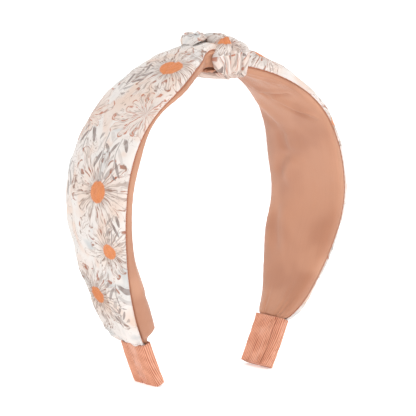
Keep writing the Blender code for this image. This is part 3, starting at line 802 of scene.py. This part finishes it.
for name, side in SIDES.items():
    turn = np.linspace(0, 1, 620)[None, :]
    s = np.linspace(ribbon_top(name) + GAP, HOOP_HALF_LENGTH + GAP, 30)[:, None]
    angle = LAP_START + turn * LAP_TURN
    lapped = soft_step((turn * LAP_TURN - 1.75 * math.pi) / (0.25 * math.pi)) * (RIBBON_WALL + GAP)
    half, deep = RIBBON_HALF_WIDTH + lapped, RIBBON_HALF_THICKNESS + lapped
    y = -squared(np.cos(angle), RIBBON_ROUNDNESS) * half
    n = squared(np.sin(angle), RIBBON_ROUNDNESS) * deep
    smooth = band_place(side, s, y, n)
    wound = lengths(smooth, 1)
    down = s - s[0, 0]
    slanted = wound + 0.10 * down + 0.00035 * np.sin(down / 0.004 + wound / 0.009)
    ribs = RIB_HEIGHT * np.sin(2 * np.pi * slanted / RIB_PITCH)
    gathered = 0.00025 * np.exp(-down / 0.0035) * np.sin(wound / 0.0012)
    out = normals(smooth)
    facing = away_from_middle(smooth, out)
    face = smooth + facing * out * (ribs + gathered)[..., None]
    ribbon = add_cloth(f"grosgrain_ribbon_{name}", face, facing, WOUND_THICKNESS,
                       pairs(slanted, down), ribbon_finish)
    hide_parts(f"ribbon_{name}")
    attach(ribbon, f"{name}_limb")

    walk = np.linspace(-1, 1, 130)[:, None]
    bend = FOLD_HALF * math.pi / 2
    leg = np.clip(np.abs(walk) * (END_FOLD + bend) - bend, 0, None)
    round_turn = np.clip(walk * (END_FOLD + bend) / FOLD_HALF, -math.pi / 2, math.pi / 2)
    s_fold = HOOP_HALF_LENGTH - RIBBON_WALL - leg + (GAP + RIBBON_WALL) * np.cos(round_turn)
    n_fold = FOLD_HALF * np.sin(round_turn)
    y_fold = np.linspace(-CORE_HALF_WIDTH, CORE_HALF_WIDTH, 24)[None, :]
    smooth = band_place(side, s_fold, y_fold, n_fold)
    out = normals(smooth)
    end_row, leg_row = len(walk) // 2, 10
    facing = np.sign((out[end_row] * (smooth[end_row] - smooth[leg_row])).sum(-1).mean())
    run = lengths(smooth, 0)
    face = smooth + facing * out * (0.00006 * np.sin(2 * np.pi * run / RIB_PITCH))[..., None]
    fold = add_cloth(f"ribbon_fold_{name}", face, facing, FOLD_THICKNESS, pairs(run, y_fold),
                     ribbon_finish)
    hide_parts(f"ribbon_end_{name}")
    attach(fold, f"{name}_limb")

# ==== Knot =================================================================================
# The two printed bands are crossed at the crown. One goes over the bunched cloth as a wrap with
# broad soft pleats, its edge tucks in on the right, and its slack stands up as a loop on the left.
KNOT_HALF = KNOT_BAND_WIDTH / 2 - 0.0006
RING_HALF, RING_ROUNDNESS = KNOT_HALF + 2 * GAP, 0.70
RING_LOW = CORE_HALF + GAP + FABRIC + KNOT_UNDER + GAP
FILL_LOFT = 0.0086
RING_HIGH = FILL_LOFT + GAP
WRAP_START, WRAP_END, WRAP_SLANT = -0.0090, 0.0072, 0.0110
WRAP_THICKNESS, WRAP_THIN = 0.0024, 0.0016
TUCK_START, TUCK_END = 0.0075, 0.0113
LOOP_START, LOOP_END, LOOP_REST = -0.0120, -0.0006, 0.0084
LOOP_ROUNDNESS = 0.85
LOOP_ROWS, LOOP_COLUMNS = 90, 110
# Cloth once round each piece, and where on the print the loop's own stretch begins.
WRAP_ROUND, CORE_ROUND, LOOP_ROUND = 0.064, 0.045, 0.034
LOOP_FROM, LOOP_RUN = 0.100, 0.020
CORE_THICKNESS, UNDER_THICKNESS = 0.00042, 0.00034
KNOT_DAISIES = [(0.0246, -0.0016, 0.0135, 0), (0.040, 0.001, 0.018, 1), (0.126, 0.006, 0.024, 1)]
KNOT_SPRAYS = [(0.026, 0.003, 0.018, 12), (0.030, -0.005, 0.016, -8), (0.104, -0.004, 0.020, 20)]
KNOT_CHIFFON = printed_chiffon("printed_chiffon_knot", KNOT_DAISIES, KNOT_SPRAYS)


def ring_place(s, spread, angle):
    """Places round the bunched cloth, spread away from it: an oval above, squarer below the
    crown, where the wrap lies thin."""
    middle, deep = (RING_HIGH - RING_LOW) / 2, (RING_HIGH + RING_LOW) / 2
    below = np.maximum(0, -np.sin(angle)) ** 2
    away = spread * (1 - below * (1 - WRAP_THIN / WRAP_THICKNESS))
    power = RING_ROUNDNESS - 0.4 * soft_step(-4 * np.sin(angle))
    y = squared(np.cos(angle), power) * (RING_HALF + away)
    h = squared(np.sin(angle), power) * (deep + away)
    return band_place(1, s, y, middle + h)


def swell(share, power=0.6):
    return np.sin(np.pi * np.clip(share, 0, 1)) ** power


def wrap_height(u, angle):
    """The wrap's two broad pleats, cut by narrower sharp folds that lean to the right as they
    climb over the front, and fine crinkles."""
    split = 0.60 + 0.03 * np.sin(angle + 0.5)
    broad = np.where(u < split, 0.0032 * swell(u / split), 0.0024 * swell((u - split) / (1 - split)))
    lean = u + 0.20 * np.cos(angle / 2) + 0.03 * np.sin(3 * angle)
    folds = sum(1 - 2 * np.abs(np.sin(np.pi * (count * lean + start))) ** 0.7
                for count, start in ((3.1, 0.1), (4.7, 0.45), (7.3, 0.8))) / 3
    crinkle = ripples(u * 0.017, angle * 0.010, 52, 12, 0.0014, 0.0042)
    return 0.0006 + broad - (0.00075 * folds + 0.00010 * crinkle) * swell(u, 0.5)


def knot_ring(name, start, end, slant, rise, rows, finish, cad_node):
    """A ring of cloth round the knot, its outside given by rise(u, angle). Its left edge runs
    slant to the right from the front, at angle pi, to the back. It is a closed shell: the outer
    face, and an inner face that lies on the bunched cloth."""
    u = np.linspace(0, 1, rows)[:, None]
    angle = full_turn(200)
    s = start + (end - start) * u + slant * (1 - u) * np.abs(np.cos(angle / 2))
    outer = ring_place(s, rise(u, angle), angle)
    inner = ring_place(s, 0.0 * u + 0.00002, angle)
    skins = np.concatenate([outer, inner[::-1], outer[:1]])
    rows_all, columns, _ = skins.shape
    count = (rows_all - 1) * columns
    faces = quads(rows_all, columns, ring=True) % count
    cloth = pairs(angle / (2 * np.pi) * WRAP_ROUND, s)
    cloth = np.concatenate([cloth, cloth[::-1]])
    made = add_mesh(name, skins[:-1].reshape(-1, 3), faces.tolist(), finish, cloth.reshape(-1, 2))
    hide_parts(cad_node)
    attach(made, "crown")


knot_ring("knot_wrap_cloth", WRAP_START, WRAP_END, WRAP_SLANT, wrap_height, 90, KNOT_CHIFFON,
          "knot_wrap")


def tuck_height(u, angle):
    """One narrow pleat with a slight twist to its folds."""
    folds = pleats(u + 0.12 * np.sin(2 * angle), (1.7, 2.9), 53)
    return 0.0003 + 0.0019 * swell(u) + 0.00015 * folds * swell(u, 0.5)


knot_ring("knot_tuck_cloth", TUCK_START, TUCK_END, 0.0, tuck_height, 26, KNOT_CHIFFON,
          "knot_tuck")

# The bunched cloth inside the wrap: the end of the band, pleated into a tube over the strip.
u = np.linspace(0, 1, 60)[:, None]
angle = full_turn(160)
s = WRAP_START + (TUCK_END - WRAP_START) * u
low = FOLD_HALF + GAP
middle, deep = (FILL_LOFT + low) / 2, (FILL_LOFT - low) / 2
shrink = 1 - 0.035 * (1 + pleats(angle / (2 * np.pi) + 0.02 * u, (11, 17, 23), 61))
y = np.cos(angle) * (KNOT_HALF - 0.0008) * shrink
face = band_place(1, s, y, middle + np.sin(angle) * (deep - 0.0006) * shrink)
facing = away_from_middle(face, normals(face, ring=True))
cloth = pairs(angle / (2 * np.pi) * CORE_ROUND, s)
bunch = add_cloth("knot_core_cloth", face, facing, CORE_THICKNESS, cloth, KNOT_CHIFFON, ring=True)
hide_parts("knot_inner")
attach(bunch, "crown")

# The satin of both limbs runs on under the strip inside the wrap, gathered to half its width.
v = np.linspace(-1, 1, 150)[None, :]
under_half, under_middle = 0.76 * KNOT_HALF, -CORE_HALF - GAP - 0.0012
gather = 0.00055 * np.sin(2 * np.pi * v * 4.5) + 0 * u
face = band_place(1, s, v * (under_half - 0.0006), under_middle + gather)
under = add_cloth("satin_under_knot", face, 1, UNDER_THICKNESS, pairs(s, v * 0.014), satin)
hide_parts("lining_crown")
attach(under, "crown")


def loop_surface(t, angle):
    """The standing loop: an oval section that swells from its folded left end and runs down
    behind the wrap, drawn into pleats that meet where the wrap grips it."""
    s = LOOP_START + (LOOP_END - LOOP_START) * t
    full = np.sin(np.pi * (0.05 + 0.87 * t)) ** 0.55
    rest = RING_HIGH + 0.0002
    lifted = soft_step((s - LOOP_START) / (WRAP_START - LOOP_START))
    low = LOOP_REST + (rest - LOOP_REST) * lifted
    half_width = 0.0070 * full
    half_height = (0.0017 + 0.0010 * t) * full
    ridges = pleats(angle / (2 * np.pi) + 0.10 * t, (5, 8, 13), 71)
    crinkle = ripples(s, angle * 0.004, 72, 12, 0.0014, 0.004)
    rise = (0.00042 * ridges * (0.35 + t) + 0.00010 * crinkle) * full
    y = squared(np.cos(angle), LOOP_ROUNDNESS) * (half_width + rise)
    h = squared(np.sin(angle), LOOP_ROUNDNESS) * (half_height + rise)
    centre = 0.0008 + 0.0060 * t
    return band_place(1, s, centre + y, low + half_height + h)


t = np.linspace(0, 1, LOOP_ROWS)[:, None]
angle = full_turn(LOOP_COLUMNS)
surface = loop_surface(t, angle)
cloth = pairs(LOOP_FROM + t * LOOP_RUN, angle / (2 * np.pi) * LOOP_ROUND - 0.010)
loop_faces = quads(LOOP_ROWS, LOOP_COLUMNS, ring=True).tolist()
ends = [surface[0].mean(0), surface[-1].mean(0)]
points = np.concatenate([surface.reshape(-1, 3), np.array(ends)])
first_end = LOOP_ROWS * LOOP_COLUMNS
last_row = first_end - LOOP_COLUMNS
for j in range(LOOP_COLUMNS):
    k = (j + 1) % LOOP_COLUMNS
    loop_faces.append([k, j, first_end])
    loop_faces.append([last_row + j, last_row + k, first_end + 1])
end_places = [[LOOP_FROM - 0.001, 0.005], [LOOP_FROM + LOOP_RUN + 0.001, 0.005]]
places = np.concatenate([cloth.reshape(-1, 2), end_places])
loop = add_mesh("knot_loop_cloth", points, loop_faces, KNOT_CHIFFON, places)
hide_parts("knot_loop")
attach(loop, "crown")

# ==== Studio ===============================================================================
# A pale floor that sweeps up behind the headband, an even white surround and two large soft
# lights. The camera looks from the front and left, a little above, and is tipped slightly.
floor_finish, tree = finish_of("pale_floor", 0.9, Emission_Strength=0.38, Emission_Color=(1, 1, 1, 1))
tree.nodes["Principled BSDF"].inputs["Base Color"].default_value = paint(252, 252, 252)
VIEW_TURN = math.radians(-41)  # the sweep rises behind the headband, square to the camera
REACH, CURVE_START, CURVE_RADIUS = 60.0, 2.5, 1.5
bend = np.linspace(0, np.pi / 2, 24)
away = np.concatenate([[-REACH], CURVE_START + CURVE_RADIUS * np.sin(bend), [CURVE_START + CURVE_RADIUS]])
rise = np.concatenate([[0], CURVE_RADIUS * (1 - np.cos(bend)), [REACH]])
beside = np.array([-REACH, REACH])[None, :]
sweep_x = -away[:, None] * math.sin(VIEW_TURN) + beside * math.cos(VIEW_TURN)
sweep_y = away[:, None] * math.cos(VIEW_TURN) + beside * math.sin(VIEW_TURN)
points = np.stack(np.broadcast_arrays(sweep_x, sweep_y, rise[:, None]), -1)
mesh = bpy.data.meshes.new("floor")
mesh.from_pydata(points.reshape(-1, 3).tolist(), [], quads(len(away), 2).tolist())
mesh.shade_smooth()
mesh.materials.append(floor_finish)
floor = bpy.data.objects.new("floor", mesh)
bpy.context.scene.collection.objects.link(floor)

world = bpy.data.worlds.new("white_surround")
world.use_nodes = True
world.node_tree.nodes["Background"].inputs["Color"].default_value = (1, 1, 1, 1)
world.node_tree.nodes["Background"].inputs["Strength"].default_value = 0.58
bpy.context.scene.world = world
bpy.context.scene.view_settings.view_transform = "Standard"

LOOK_AT = Vector((0, 0, 0.075))
LAMPS = (("key", (-0.9, -1.3, 1.3), 0.8, 15.5), ("fill", (1.4, -0.6, 0.9), 1.2, 4.0))
for name, place, size, power in LAMPS:
    light = bpy.data.lights.new(name, "AREA")
    light.size, light.energy = size, power
    lamp = bpy.data.objects.new(name, light)
    lamp.location = place
    lamp.rotation_euler = (LOOK_AT - Vector(place)).to_track_quat("-Z", "Y").to_euler()
    bpy.context.scene.collection.objects.link(lamp)

VIEW_RISE, VIEW_TIP, VIEW_DISTANCE = math.radians(6.5), math.radians(1.2), 0.78
lens = bpy.data.cameras.new("camera")
lens.sensor_width = 36
lens.lens = 152.7
camera = bpy.data.objects.new("camera", lens)
toward_eye = Vector((math.sin(VIEW_TURN) * math.cos(VIEW_RISE),
                     -math.cos(VIEW_TURN) * math.cos(VIEW_RISE), math.sin(VIEW_RISE)))
camera.location = LOOK_AT + toward_eye * VIEW_DISTANCE
aim = (-toward_eye).to_track_quat("-Z", "Y") @ Quaternion((0, 0, 1), VIEW_TIP)
camera.rotation_euler = aim.to_euler()
bpy.context.scene.collection.objects.link(camera)
bpy.context.scene.camera = camera
